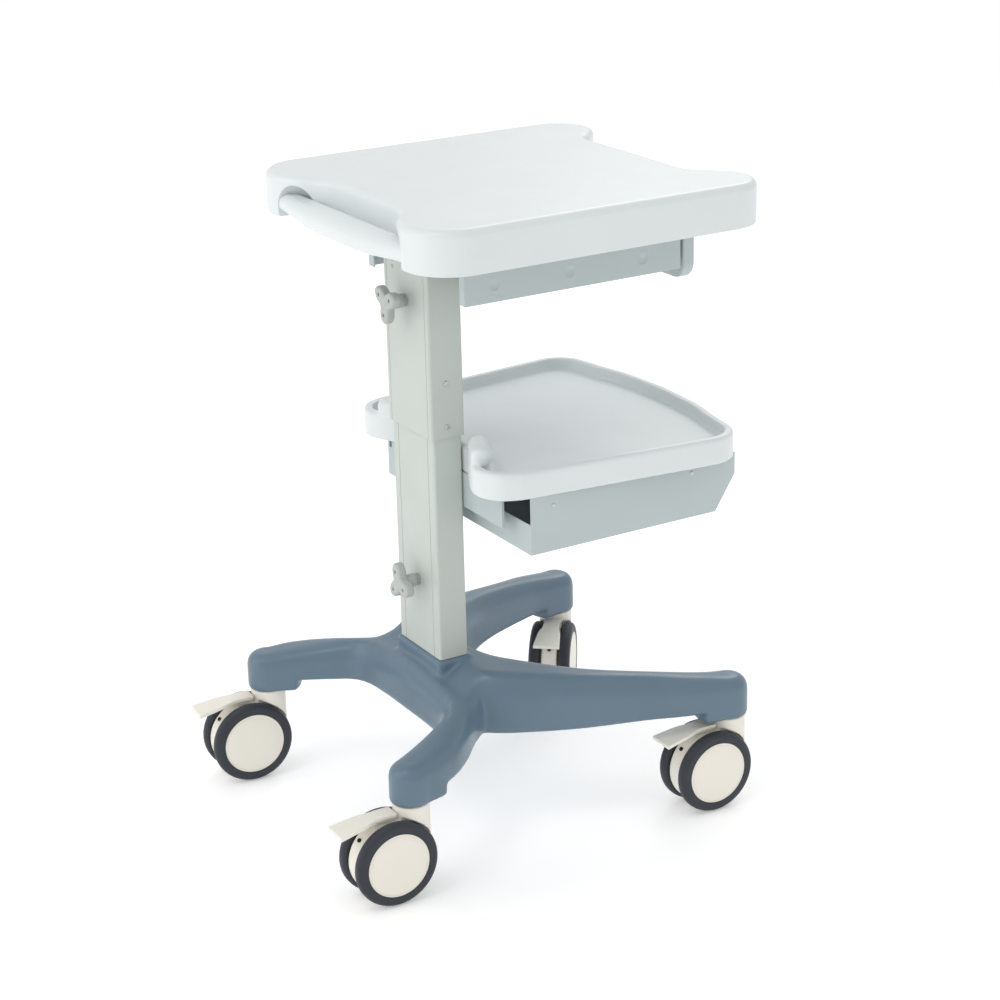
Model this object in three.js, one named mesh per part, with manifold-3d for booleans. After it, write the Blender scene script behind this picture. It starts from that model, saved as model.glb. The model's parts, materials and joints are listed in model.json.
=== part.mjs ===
// A height-adjustable ultrasound trolley: four-legged base on casters, telescoping column with two clamp
// knobs, shelf with a box under it, and a top tray with a handle, a channel and a drawer.
import * as THREE from "three";
import { mergeVertices } from "three/addons/utils/BufferGeometryUtils.js";
import Module from "manifold-3d";

const wasm = await Module();
wasm.setup();

// Driving dimensions in millimetres. The column stands on X = 0, Y = 0 is the middle plane, and Z = 0 the floor.
// The handle is at the low X end, called rear. High X is called front, high Y left and low Y right.
const gap = 0.3;
const columnToCentre = { x: 50.96, y: 1.316 };
const sideSteps = 2;

const caster = { rearX: -135.4, rearY: 181.6, frontX: 288.2, frontY: 191.6, trail: 30.4, top: 111.5 };
const wheel = { radius: 50, hubRadius: 38, inner: 12, outer: 27, segments: 24 };
const legs = { endRadius: 24, padReach: 44, endBottom: 112, bottom: 125, wall: 4, round: 13 };
const legCrown = { end: 157, rearSlope: 0.135, rearMost: 27, frontEnd: 3, frontRise: 60, frontReach: 320 };
const crownBlend = { from: -22, over: 40 };
const collar = { halfX: 23, halfY: 53, top: 200 };
const post = { x: 30, y: 89, wall: 2.5 };
const flangeTop = 172;
const lowerColumn = { x: 37, y: 96, wall: 1.8, bottom: 200.4, top: 560 };
const columnRound = 3;
const upperColumn = { x: 43, y: 101, wallX: 2.6, wallY: 2.1, bottom: 471, top: 704 };
const knob = { lobe: 9, reach: 15, thick: 11, standOff: 17, stud: 4, upperZ: 624, lowerZ: 287 };
const tray = { top: 751.5, bottom: 702.5, wall: 3, round: 9 };
const handle = { innerX: -87, top: 728, round: 8 };
const channel = { x0: -8, x1: 275, halfY: 110, bottom: 638, top: 720, wall: 2 };
const drawer = { x0: 33, halfY: 100, bottom: 645, top: 690, wall: 2, frontX: 279, frontThick: 16, frontBottom: 623 };
const shelf = { crest: 457, floor: 444.5, ceiling: 441.5, bottom: 426, rim: 13, wall: 3 };
const box = { x0: 36, x1: 314, chamferX: 286.7, chamferZ: 399.7, halfY: 166, bottom: 358, lip: 394, wall: 1.5 };
const cheek = { x: 16, y: 93, z: 463.8, radius: 12.2, length: 54, turn: 26 };
const bracket = { x: 19.2, thick: 3, right: -132.5, left: 124.2, bottom: 383.8, arm: 240 };

const paint = {
  shell: { color: 0xe8ebea, roughness: 0.45 },
  column: { color: 0xd3d5cd, roughness: 0.5 },
  sheet: { color: 0xcdd2d2, roughness: 0.5 },
  base: { color: 0x6a7a8a, roughness: 0.5 },
  cream: { color: 0xe6e2d8, roughness: 0.45 },
  rubber: { color: 0x2f353d, roughness: 0.75 },
  steel: { color: 0xb4b8bb, roughness: 0.35, metalness: 1 },
  glide: { color: 0x3a3c40, roughness: 0.6 },
};

// Solids: every helper returns a manifold-3d solid, so that pieces can be joined and cut.
function solidOf(geometry) {
  const bare = geometry.index ? geometry.toNonIndexed() : geometry.clone();
  bare.deleteAttribute("normal");
  bare.deleteAttribute("uv");
  const merged = mergeVertices(bare, 1e-3);
  const triVerts = new Uint32Array(merged.index.array);
  return new wasm.Manifold(
    new wasm.Mesh({ numProp: 3, vertProperties: merged.attributes.position.array, triVerts }),
  );
}

function geometryOf(solid) {
  const made = solid.getMesh();
  const geometry = new THREE.BufferGeometry();
  geometry.setAttribute("position", new THREE.BufferAttribute(new Float32Array(made.vertProperties), 3));
  geometry.setIndex(new THREE.BufferAttribute(new Uint32Array(made.triVerts), 1));
  const flat = geometry.toNonIndexed();
  flat.computeVertexNormals();
  return flat;
}

function join(...solids) {
  return solids.reduce((whole, next) => whole.add(next));
}

function cut(solid, ...tools) {
  return tools.reduce((whole, tool) => whole.subtract(tool), solid);
}

// A box from its lowest and highest corner.
function block(x0, y0, z0, x1, y1, z1) {
  const geometry = new THREE.BoxGeometry(x1 - x0, y1 - y0, z1 - z0);
  return solidOf(geometry.translate((x0 + x1) / 2, (y0 + y1) / 2, (z0 + z1) / 2));
}

// A rod along X, Y or Z between two places on that axis.
function rod(axis, radius, from, to, centre, segments = 16) {
  const geometry = new THREE.CylinderGeometry(radius, radius, to - from, segments);
  geometry.translate(0, (from + to) / 2, 0);
  if (axis === "x") geometry.rotateZ(-Math.PI / 2);
  if (axis === "z") geometry.rotateX(Math.PI / 2);
  return solidOf(geometry.translate(...centre));
}

// A plan outline drawn up from z0 to z1, with its edges rounded where round is given.
function slab(points, z0, z1, round = 0) {
  const settings = {
    depth: z1 - z0 - 2 * round,
    bevelEnabled: round > 0,
    bevelThickness: round,
    bevelSize: round,
    bevelOffset: -round,
    bevelSegments: sideSteps,
    steps: 1,
  };
  return new THREE.ExtrudeGeometry(new THREE.Shape(points), settings).translate(0, 0, z0 + round);
}

// A side outline in X and Z, drawn across from y0 to y1.
function sideSlab(points, y0, y1, round = 0) {
  return solidOf(slab(points, -y1, -y0, round).rotateX(Math.PI / 2));
}

function arc(centreX, centreY, radius, fromDegrees, toDegrees, steps) {
  const points = [];
  for (let i = 0; i <= steps; i++) {
    const turn = THREE.MathUtils.degToRad(fromDegrees + ((toDegrees - fromDegrees) * i) / steps);
    points.push(new THREE.Vector2(centreX + radius * Math.cos(turn), centreY + radius * Math.sin(turn)));
  }
  return points;
}

function smooth(pairs, steps) {
  const places = pairs.map(([x, y]) => new THREE.Vector2(x, y));
  return new THREE.SplineCurve(places).getSpacedPoints(steps);
}

// The half outline at low Y, followed by its mirror image, as one closed outline.
function mirrored(half) {
  const apart = half.filter((p, i) => i === 0 || p.distanceTo(half[i - 1]) > 0.5);
  const back = apart.filter((p) => p.y < -0.5).map((p) => new THREE.Vector2(p.x, -p.y));
  return [...apart, ...back.reverse()];
}

// An outline moved inwards by a distance, for walls of even thickness.
function inset(points, distance) {
  const count = points.length;
  const sign = THREE.ShapeUtils.isClockWise(points) ? -1 : 1;
  return points.map((p, i) => {
    const before = points[(i + count - 1) % count];
    const after = points[(i + 1) % count];
    const along = after.clone().sub(before).normalize();
    return new THREE.Vector2(p.x - sign * along.y * distance, p.y + sign * along.x * distance);
  });
}

function roundedRectangle(width, depth, radius, steps = 3) {
  const x = width / 2 - radius;
  const y = depth / 2 - radius;
  return [
    ...arc(x, y, radius, 0, 90, steps),
    ...arc(-x, y, radius, 90, 180, steps),
    ...arc(-x, -y, radius, 180, 270, steps),
    ...arc(x, -y, radius, 270, 360, steps),
  ];
}

function tube(outer, inner, z0, z1) {
  return cut(solidOf(slab(outer, z0, z1)), solidOf(slab(inner, z0 - 1, z1 + 1)));
}

const trolley = new THREE.Group();
const parent = new THREE.Group();
parent.position.set(-columnToCentre.x, -columnToCentre.y, 0);
trolley.add(parent);

function place(name, solid, look, group = parent) {
  const material = new THREE.MeshStandardMaterial({ metalness: 0, ...look });
  const mesh = new THREE.Mesh(geometryOf(solid), material);
  mesh.name = name;
  group.add(mesh);
}

// Base: one moulding with four legs, hollow underneath, with a boss for each caster stem.
const legEnds = [
  [caster.rearX, -caster.rearY],
  [caster.rearX, caster.rearY],
  [caster.frontX, -caster.frontY],
  [caster.frontX, caster.frontY],
];

function baseOutline() {
  const rearInner = smooth([[-42, 0], [-43, -72], [-52, -106], [-77, -124], [-107, -141], [-145, -160]], 9);
  const rearOuter = smooth([[-123, -202], [-99, -196], [-72, -180], [-45, -156], [-20, -128], [2, -108]], 7);
  const frontOuter = smooth([[2, -108], [32, -128], [101, -160], [180, -185], [229, -203], [282, -214.8]], 8);
  const frontInner = smooth([[293.5, -168.2], [234, -156], [139, -117], [72, -60], [53, -30], [48, 0]], 9);
  return mirrored([
    ...rearInner,
    ...arc(caster.rearX, -caster.rearY, legs.endRadius, 120, 300, 6),
    ...rearOuter,
    ...frontOuter.slice(1),
    ...arc(caster.frontX, -caster.frontY, legs.endRadius, -103, 77, 6),
    ...frontInner,
  ]);
}

function legTop(x, y) {
  const reach = legEnds.map(([ex, ey]) => Math.hypot(x - ex, y - ey));
  const rear = Math.min(legCrown.rearMost, legCrown.rearSlope * Math.min(reach[0], reach[1]));
  const climb = 1 - Math.exp(-Math.min(reach[2], reach[3]) / legCrown.frontReach);
  const front = legCrown.frontEnd + legCrown.frontRise * climb;
  const part = Math.min(1, Math.max(0, (x - crownBlend.from) / crownBlend.over));
  const share = part * part * (3 - 2 * part);
  return legCrown.end + rear + share * (front - rear);
}

// The legs' rounded body between a level underside and a top that rises towards the column.
function legBody(outline, lowest, drop, round) {
  const level = 200;
  const geometry = slab(outline, 60, level, round);
  const places = geometry.attributes.position;
  for (let i = 0; i < places.count; i++) {
    const lift = legTop(places.getX(i), places.getY(i)) - drop - level;
    places.setZ(i, places.getZ(i) + lift);
  }
  return cut(solidOf(geometry), block(-400, -400, -50, 400, 400, lowest));
}

function baseFrame() {
  const outline = baseOutline();
  const foot = slab(roundedRectangle(2 * collar.halfX, 2 * collar.halfY, 8), flangeTop - 8, collar.top + 3, 3);
  const footOnly = cut(
    solidOf(foot),
    block(-60, -60, collar.top, 60, 60, collar.top + 9),
    block(-60, -60, flangeTop - 9, 60, 60, flangeTop),
  );
  const hollow = legBody(inset(outline, legs.wall), legs.bottom - 5, legs.wall + 1, legs.round - legs.wall);
  let frame = join(cut(legBody(outline, legs.bottom, 0, legs.round), hollow), footOnly);
  for (const [x, y] of legEnds) {
    const reach = rod("z", legs.padReach, legs.endBottom, legs.bottom + 3, [x, y, 0], 20);
    const boss = rod("z", 12, legs.endBottom, legCrown.end - 1, [x, y, 0], 12);
    frame = join(frame, solidOf(slab(outline, legs.endBottom, legs.bottom + 3)).intersect(reach), boss);
  }
  const bores = legEnds.map(([x, y]) => rod("z", 5.9, legs.endBottom - 1, 144, [x, y, 0]));
  const slot = solidOf(slab(roundedRectangle(post.x + 0.8, post.y + 0.8, 4), 150, collar.top + 1));
  return cut(frame, slot, ...bores);
}

place("base_frame", baseFrame(), paint.base);
place("post_flange", block(-19, -50, flangeTop - 6, 19, 50, flangeTop - gap), paint.steel);

// Column: the base post, the two column parts that slide on it, and the tray post inside them.
function postTube(z0, z1) {
  const outer = roundedRectangle(post.x, post.y, 4);
  return tube(outer, roundedRectangle(post.x - 2 * post.wall, post.y - 2 * post.wall, 2), z0, z1);
}

function columnTube(column, wallX, wallY) {
  const outer = roundedRectangle(column.x, column.y, columnRound);
  const inner = roundedRectangle(column.x - 2 * wallX, column.y - 2 * wallY, 1.5);
  return tube(outer, inner, column.bottom, column.top);
}

function bush(outerX, outerY, z0, z1) {
  return tube(roundedRectangle(outerX, outerY, 4), roundedRectangle(post.x + 0.6, post.y + 0.6, 4.2), z0, z1);
}

const insertRadius = 7;
const lowerBore = rod("x", insertRadius + gap, -30, -10, [0, 0, knob.lowerZ]);
const upperBore = rod("x", insertRadius + gap, -30, -10, [0, 0, knob.upperZ]);
const lowerInnerX = lowerColumn.x - 2 * lowerColumn.wall;
const lowerInnerY = lowerColumn.y - 2 * lowerColumn.wall;
const upperInnerX = upperColumn.x - 2 * upperColumn.wallX;
const upperInnerY = upperColumn.y - 2 * upperColumn.wallY;
place("base_post", postTube(flangeTop, 450), paint.steel);
place("column_lower", cut(columnTube(lowerColumn, lowerColumn.wall, lowerColumn.wall), lowerBore), paint.column);
place("column_upper", cut(columnTube(upperColumn, upperColumn.wallX, upperColumn.wallY), upperBore), paint.column);
place("lower_glide_bush", bush(lowerInnerX - 2 * gap, lowerInnerY - 2 * gap, 206, 232), paint.glide);
place("upper_glide_bush", bush(upperInnerX - 2 * gap, upperInnerY - 2 * gap, 676, 703.6), paint.glide);
place("tray_post", postTube(470, 714.7), paint.steel);

// Clamp knobs: a threaded insert in the column, and a stud with a three-lobed knob on it.
function knobBody(x0, x1, turn) {
  let body = rod("z", 12, 0, x1 - x0, [0, 0, 0]);
  for (let i = 0; i < 3; i++) {
    const angle = turn + (i * 2 * Math.PI) / 3;
    const centre = [knob.reach * Math.cos(angle), knob.reach * Math.sin(angle), 0];
    body = join(body, rod("z", knob.lobe, 0, x1 - x0, centre, 12));
  }
  const bore = rod("z", knob.stud + gap, 4, 30, [0, 0, 0]);
  return solidOf(geometryOf(cut(body, bore)).rotateY(Math.PI / 2).translate(x0, 0, 0));
}

function clamp(name, z, faceX, innerX, turn) {
  const outerEnd = -faceX - knob.standOff;
  const group = new THREE.Group();
  group.position.z = z;
  parent.add(group);
  const insert = cut(
    rod("x", insertRadius, -faceX - 4, -innerX + 0.5, [0, 0, 0]),
    rod("x", knob.stud + gap, -60, 0, [0, 0, 0], 12),
  );
  place(`clamp_insert_${name}`, insert, paint.steel, group);
  const stud = rod("x", knob.stud, outerEnd - knob.thick + 4.5, -post.x / 2 - gap, [0, 0, 0], 12);
  place(`knob_stud_${name}`, stud, paint.steel, group);
  place(`knob_${name}`, knobBody(outerEnd - knob.thick, outerEnd, turn), paint.column, group);
}

clamp("lower", knob.lowerZ, lowerColumn.x / 2, lowerInnerX / 2, 2.9);
clamp("upper", knob.upperZ, upperColumn.x / 2, upperInnerX / 2, 0.5);

// Casters: each is drawn with its stem at the origin and trails along low X, then turned to its own direction.
function lathe(profile, segments) {
  const points = profile.map(([radius, along]) => new THREE.Vector2(radius, along));
  return new THREE.LatheGeometry(points, segments);
}

function wheelHub() {
  const rim = wheel.hubRadius - gap;
  const profile = [
    [0, wheel.outer - 3],
    [4.4, wheel.outer - 3],
    [4.4, wheel.inner + 0.4],
    [rim, wheel.inner + 0.4],
    [rim, wheel.outer - 1.4],
    [0, wheel.outer - 0.4],
  ];
  return solidOf(lathe(profile, wheel.segments));
}

function tyre() {
  const profile = [
    [wheel.hubRadius, wheel.inner],
    [wheel.radius - 3, wheel.inner],
    [wheel.radius, wheel.inner + 4],
    [wheel.radius, wheel.outer - 4],
    [wheel.radius - 3, wheel.outer],
    [wheel.hubRadius, wheel.outer],
    [wheel.hubRadius, wheel.inner],
  ];
  return solidOf(lathe(profile, wheel.segments));
}

// A solid that was drawn round its own Y axis, moved to one side of the axle.
function onAxle(solid, side) {
  const geometry = geometryOf(solid);
  if (side < 0) geometry.rotateX(Math.PI);
  return solidOf(geometry.translate(-caster.trail, 0, wheel.radius));
}

function casterBody() {
  const axle = [-caster.trail, 0, wheel.radius];
  const webHalf = 10.5;
  const web = rod("y", 42, -webHalf, webHalf, axle, 20);
  const neck = block(-21, -webHalf, 40, 10, webHalf, 100);
  const housing = rod("z", 21.2, 62, caster.top, [0, 0, 0], 20);
  const clearance = wheel.radius + 1.6;
  const wheelSpace = [
    rod("y", clearance, webHalf + 0.4, 40, axle, 24),
    rod("y", clearance, -40, -webHalf - 0.4, axle, 24),
  ];
  const bores = [rod("z", 5.9, 72, 120, [0, 0, 0]), rod("y", 4.4, -20, 20, axle, 12)];
  const below = block(-90, -30, -1, 30, 30, 14);
  return cut(join(web, neck, housing), ...wheelSpace, ...bores, below);
}

// The brake pedal: a thin paddle over both tyres, with a wedge that sits between the wheels.
function pedal() {
  const side = (points) => points.map(([x, z]) => new THREE.Vector2(x, z));
  const paddle = side([[-23, 101.6], [-40, 102.4], [-62, 101.5], [-92, 98.5], [-95, 99.5], [-95, 101.5], [-40, 106], [-23, 106]]);
  const wedge = side([[-23, 95.5], [-34, 95.5], [-42, 98], [-58, 96.5], [-84, 97], [-84, 101.5], [-40, 104], [-23, 104]]);
  return join(sideSlab(paddle, -17, 17), sideSlab(wedge, -8, 8));
}

function makeCaster(corner, x, y, direction) {
  const fixed = new THREE.Group();
  fixed.position.set(x, y, 0);
  const swivel = new THREE.Group();
  swivel.rotation.z = THREE.MathUtils.degToRad(direction - 180);
  fixed.add(swivel);
  parent.add(fixed);
  place(`${corner}_caster_stem`, rod("z", 5.5, 72.4, 143.6, [0, 0, 0], 12), paint.steel, fixed);
  place(`${corner}_caster_body`, casterBody(), paint.cream, swivel);
  const axle = rod("y", 4, -wheel.outer + 3.4, wheel.outer - 3.4, [-caster.trail, 0, wheel.radius], 12);
  place(`${corner}_caster_axle`, axle, paint.steel, swivel);
  for (const [label, side] of [["a", 1], ["b", -1]]) {
    place(`${corner}_wheel_${label}`, onAxle(wheelHub(), side), paint.cream, swivel);
    place(`${corner}_tyre_${label}`, onAxle(tyre(), side), paint.rubber, swivel);
  }
  place(`${corner}_brake_pedal`, pedal(), paint.cream, swivel);
}

makeCaster("rear_right", caster.rearX, -caster.rearY, 179);
makeCaster("rear_left", caster.rearX, caster.rearY, 174.6);
makeCaster("front_right", caster.frontX, -caster.frontY, 178.7);
makeCaster("front_left", caster.frontX, caster.frontY, 230.4);

// Top tray: a shallow shell, open underneath, notched at both ends, with a handle bar across the rear notch.
function trayOutline() {
  const rearNotch = smooth([[-66, 0], [-66, -60], [-76, -94], [-92, -118], [-104, -150], [-104, -160]], 8);
  const frontNotch = smooth([[330, -165], [326, -148], [306, -124], [289, -104], [288, -60], [288, 0]], 8);
  return mirrored([
    ...rearNotch,
    ...arc(-52, -160, 52, 180, 270, 6).slice(1),
    ...arc(280, -162, 50, 270, 360, 6),
    ...frontNotch.slice(1),
  ]);
}

function handleBar() {
  const plan = [
    ...smooth([[-102, -136], [-107, -104], [-111, -55], [-112, 0], [-111, 55], [-107, 104], [-102, 136]], 16),
    new THREE.Vector2(handle.innerX, 136),
    new THREE.Vector2(handle.innerX, -136),
  ];
  return solidOf(slab(plan, tray.bottom, handle.top, handle.round));
}

const trayBosses = [[30, -80], [30, 80], [240, -80], [240, 80]];
const trayPlugs = [[0, -102.7], [0, 102.7], [230, -102.7], [230, 102.7]];

function trayShell() {
  const outline = trayOutline();
  const level = tray.top;
  const depth = slab(outline, tray.bottom - 20, level, tray.round);
  let shell = cut(solidOf(depth), block(-400, -400, 600, 400, 400, tray.bottom));
  const inside = slab(inset(outline, tray.wall), tray.bottom - 20, level - tray.wall, tray.round - tray.wall);
  shell = join(cut(shell, solidOf(inside)), handleBar());
  for (const [x, y] of trayBosses) {
    shell = join(shell, rod("z", 8, channel.top + gap, level - 2, [x, y, 0], 12));
  }
  const holes = trayPlugs.map(([x, y]) => rod("z", 6.3, level - 10, level + 1, [x, y, 0]));
  return cut(shell, ...holes);
}

place("tray_shell", trayShell(), paint.shell);
trayPlugs.forEach(([x, y], i) => {
  const head = rod("z", 6, tray.top - 4, tray.top - 0.2, [x, y, 0]);
  place(`tray_plug_${i + 1}`, head, paint.shell);
});

function underTrayChannel() {
  const inner = channel.halfY - channel.wall;
  const outside = block(channel.x0, -channel.halfY, channel.bottom, channel.x1, channel.halfY, channel.top);
  const space = block(channel.x0 - 1, -inner, channel.bottom - 1, channel.x1 + 1, inner, channel.top - channel.wall);
  const dimples = [];
  for (const x of [30, 127, 224]) {
    dimples.push(rod("y", 8, channel.halfY - 0.8, channel.halfY + 2, [x, 0, 657], 12));
    dimples.push(rod("y", 8, -channel.halfY - 2, -channel.halfY + 0.8, [x, 0, 657], 12));
  }
  return cut(outside, space, ...dimples);
}

place("under_tray_channel", underTrayChannel(), paint.sheet);
const plateTop = channel.top - channel.wall - gap;
place("tray_mount_plate", block(-7, -60, 715, 60, 60, plateTop), paint.steel);

// Drawer: a tub between two runners, behind a front plate that hangs below the channel as a finger pull.
function drawerTub() {
  const end = drawer.frontX - gap;
  const outside = block(drawer.x0, -drawer.halfY, drawer.bottom, end, drawer.halfY, drawer.top);
  const w = drawer.wall;
  const inside = block(
    drawer.x0 + w, -drawer.halfY + w, drawer.bottom + w, end - w, drawer.halfY - w, drawer.top + 1,
  );
  return cut(outside, inside);
}

function drawerFront() {
  const height = tray.bottom - 0.7 - drawer.frontBottom;
  const face = roundedRectangle(height, 2 * channel.halfY, 12, 3);
  const geometry = slab(face, 0, drawer.frontThick, 2).rotateY(-Math.PI / 2);
  return solidOf(geometry.translate(drawer.frontX + drawer.frontThick, 0, drawer.frontBottom + height / 2));
}

place("drawer_tub", drawerTub(), paint.sheet);
place("drawer_front", drawerFront(), paint.sheet);
for (const [side, sign] of [["right", -1], ["left", 1]]) {
  const near = sign * (drawer.halfY + 0.6);
  const far = sign * (channel.halfY - channel.wall - gap);
  const runner = block(40, Math.min(near, far), 660, 268, Math.max(near, far), 670);
  place(`drawer_runner_${side}`, runner, paint.steel);
}

// Shelf: a rimmed tray half way up, cut out round the column, with two round cheeks beside the column.
function shelfOutline() {
  const side = (x) => -(164.8 + 0.1 * x);
  const rearCorner = smooth([
    [20, 0], [20, -51], [14, -68], [5, -86], [-3, -101], [-8.5, -117], [-9.5, -131], [-5.5, -144],
    [5, -158], [26, side(26)],
  ], 16);
  const frontEnd = smooth([[318, -115], [328, -70], [333.5, 0]], 5);
  return mirrored([
    ...rearCorner,
    ...arc(270, side(270) + 44, 44, -88, -15, 6),
    ...frontEnd,
  ]);
}

function shelfTray() {
  const outline = shelfOutline();
  const body = cut(
    solidOf(slab(outline, shelf.bottom - 20, shelf.crest, 5)),
    block(-400, -400, 300, 400, 400, shelf.bottom),
  );
  const pocket = solidOf(slab(inset(outline, shelf.rim), shelf.floor, shelf.crest + 20));
  const hollow = solidOf(slab(inset(outline, shelf.wall), shelf.bottom - 5, shelf.ceiling));
  const cheeks = [-1, 1].map((sign) => {
    const barrel = rod("y", cheek.radius, -cheek.length / 2, cheek.length / 2, [0, 0, 0], 20);
    return barrel.rotate([0, 0, sign * cheek.turn]).translate([cheek.x, sign * cheek.y, cheek.z]);
  });
  return join(cut(body, pocket, hollow), ...cheeks);
}

place("shelf_tray", shelfTray(), paint.shell);

function shelfBracket() {
  const x1 = bracket.x + bracket.thick;
  const plateEnd = shelf.bottom - gap;
  const top = shelf.ceiling - gap;
  let plate = block(bracket.x, bracket.right, bracket.bottom, x1, bracket.left, plateEnd);
  for (const sign of [-1, 1]) {
    const y0 = sign > 0 ? 68 : -108;
    plate = join(plate, block(bracket.x, y0, plateEnd - 1, x1, y0 + 40, top));
    plate = join(plate, block(bracket.x, y0, top - bracket.thick, bracket.arm, y0 + 40, top));
  }
  return plate;
}

place("shelf_bracket", shelfBracket(), paint.sheet);

function shelfBox() {
  const top = shelf.ceiling - gap;
  const outline = (t, roof) => [
    new THREE.Vector2(box.x0 + t, box.bottom + t),
    new THREE.Vector2(box.chamferX - t * 0.5, box.bottom + t),
    new THREE.Vector2(box.x1 - t, box.chamferZ + t * 0.5),
    new THREE.Vector2(box.x1 - t, roof),
    new THREE.Vector2(box.x0 + t, roof),
  ];
  const outside = sideSlab(outline(0, top), -box.halfY, box.halfY);
  const inside = sideSlab(outline(box.wall, top + 5), -box.halfY + box.wall, box.halfY - box.wall);
  const mouth = block(box.x0 - 1, -box.halfY + 3, box.lip, box.x0 + 5, box.halfY - 3, top + 5);
  const line = shelf.bottom - gap;
  const inShelf = solidOf(slab(inset(shelfOutline(), shelf.wall + gap), line - 1, top + 1));
  const walls = cut(outside, inside, mouth);
  return join(walls.intersect(inShelf), cut(walls, block(0, -200, line, 400, 200, top + 9)));
}

place("shelf_box", shelfBox(), paint.sheet);

export default trolley;
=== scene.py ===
import bpy
import json
import math
from mathutils import Matrix, Vector


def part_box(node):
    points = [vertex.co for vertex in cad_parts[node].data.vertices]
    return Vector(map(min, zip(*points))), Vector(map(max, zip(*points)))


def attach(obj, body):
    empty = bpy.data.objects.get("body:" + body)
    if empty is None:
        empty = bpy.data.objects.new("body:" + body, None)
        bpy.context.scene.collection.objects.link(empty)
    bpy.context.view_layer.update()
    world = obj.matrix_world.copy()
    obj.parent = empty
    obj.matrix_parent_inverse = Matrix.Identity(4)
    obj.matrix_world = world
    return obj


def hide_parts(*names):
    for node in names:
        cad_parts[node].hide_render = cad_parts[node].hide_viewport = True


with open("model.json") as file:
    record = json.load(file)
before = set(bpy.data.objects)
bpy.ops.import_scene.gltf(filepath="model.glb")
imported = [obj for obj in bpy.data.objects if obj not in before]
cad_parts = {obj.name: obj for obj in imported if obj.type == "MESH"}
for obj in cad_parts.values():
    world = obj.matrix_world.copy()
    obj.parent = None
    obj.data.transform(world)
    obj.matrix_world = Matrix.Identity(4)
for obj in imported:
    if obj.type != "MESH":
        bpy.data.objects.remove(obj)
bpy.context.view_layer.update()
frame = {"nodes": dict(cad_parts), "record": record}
nodes = frame["nodes"]

mm = 0.001
columnLow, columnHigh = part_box("column_upper")
columnX = (columnLow.x + columnHigh.x) / 2
columnY = (columnLow.y + columnHigh.y) / 2
corners = ("rear_right", "rear_left", "front_right", "front_left")


def at(x, y, z):
    # a place in millimetres from the column's foot, as metres in the frame
    return Vector((columnX + x * mm, columnY + y * mm, z * mm))


def middle(node):
    low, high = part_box(node)
    return (low + high) / 2


# ---- helpers for picking and shaping ----

def clearSelection():
    if bpy.context.object and bpy.context.object.mode != "OBJECT":
        bpy.ops.object.mode_set(mode="OBJECT")
    bpy.ops.object.select_all(action="DESELECT")


def onlySelect(piece):
    clearSelection()
    piece.select_set(True)
    bpy.context.view_layer.objects.active = piece


def pick(piece, kind, test):
    # opens the piece in edit mode with the vertices, edges or faces that pass the test selected
    onlySelect(piece)
    mesh = piece.data
    for group in (mesh.vertices, mesh.edges, mesh.polygons):
        group.foreach_set("select", [False] * len(group))
    items = {"VERT": mesh.vertices, "EDGE": mesh.edges, "FACE": mesh.polygons}[kind]
    for item in items:
        if kind == "EDGE":
            ends = [mesh.vertices[i].co for i in item.vertices]
            item.select = test(ends[0], ends[1])
        elif kind == "FACE":
            item.select = test(item.center, item.normal)
        else:
            item.select = test(item.co)
    bpy.ops.object.mode_set(mode="EDIT")
    bpy.ops.mesh.select_mode(type=kind)


def leaveEdit():
    bpy.ops.object.mode_set(mode="OBJECT")


def facesOut(piece):
    pick(piece, "FACE", lambda centre, normal: True)
    bpy.ops.mesh.select_all(action="SELECT")
    bpy.ops.mesh.normals_make_consistent(inside=False)
    leaveEdit()


def applyModifier(piece, kind, **settings):
    onlySelect(piece)
    modifier = piece.modifiers.new(kind.title(), kind)
    for name, value in settings.items():
        setattr(modifier, name, value)
    bpy.ops.object.modifier_apply(modifier=modifier.name)


def softEdges(piece, width, segments=3, angle=35):
    applyModifier(piece, "BEVEL", width=width * mm, segments=segments, limit_method="ANGLE",
                  angle_limit=math.radians(angle), use_clamp_overlap=True, harden_normals=False)


def shadeSmooth(piece, angle=30, evenFaces=False):
    onlySelect(piece)
    bpy.ops.object.shade_smooth_by_angle(angle=math.radians(angle))
    if evenFaces:
        applyModifier(piece, "WEIGHTED_NORMAL", keep_sharp=True)


def cutWith(piece, cutter, operation="DIFFERENCE"):
    applyModifier(piece, "BOOLEAN", object=cutter, operation=operation, solver="EXACT")
    bpy.data.objects.remove(cutter)


def joinPieces(piece, *others):
    clearSelection()
    for one in (piece, *others):
        one.select_set(True)
    bpy.context.view_layer.objects.active = piece
    bpy.ops.object.join()
    return piece


def settle(piece):
    onlySelect(piece)
    bpy.ops.object.transform_apply(location=True, rotation=True, scale=True)
    return piece


def plate(name, outline, z):
    # a flat face with the given outline, in millimetres from the column
    clearSelection()
    bpy.ops.mesh.primitive_circle_add(vertices=len(outline), radius=0.1, fill_type="NGON")
    piece = bpy.context.object
    piece.name = name
    for vertex, (x, y) in zip(piece.data.vertices, outline):
        vertex.co = at(x, y, z)
    return piece


def prism(name, outline, z0, z1):
    piece = plate(name, outline, z0)
    pick(piece, "FACE", lambda centre, normal: True)
    bpy.ops.mesh.extrude_region_move(TRANSFORM_OT_translate={"value": (0, 0, (z1 - z0) * mm)})
    leaveEdit()
    facesOut(piece)
    return piece


def bevelLevel(piece, z, width, segments):
    # rounds the edges that run round the piece at one height
    near = 0.02 * mm
    pick(piece, "EDGE", lambda a, b: abs(a.z - z * mm) < near and abs(b.z - z * mm) < near)
    bpy.ops.mesh.bevel(offset=width * mm, segments=segments, profile=0.5, affect="EDGES")
    leaveEdit()


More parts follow.
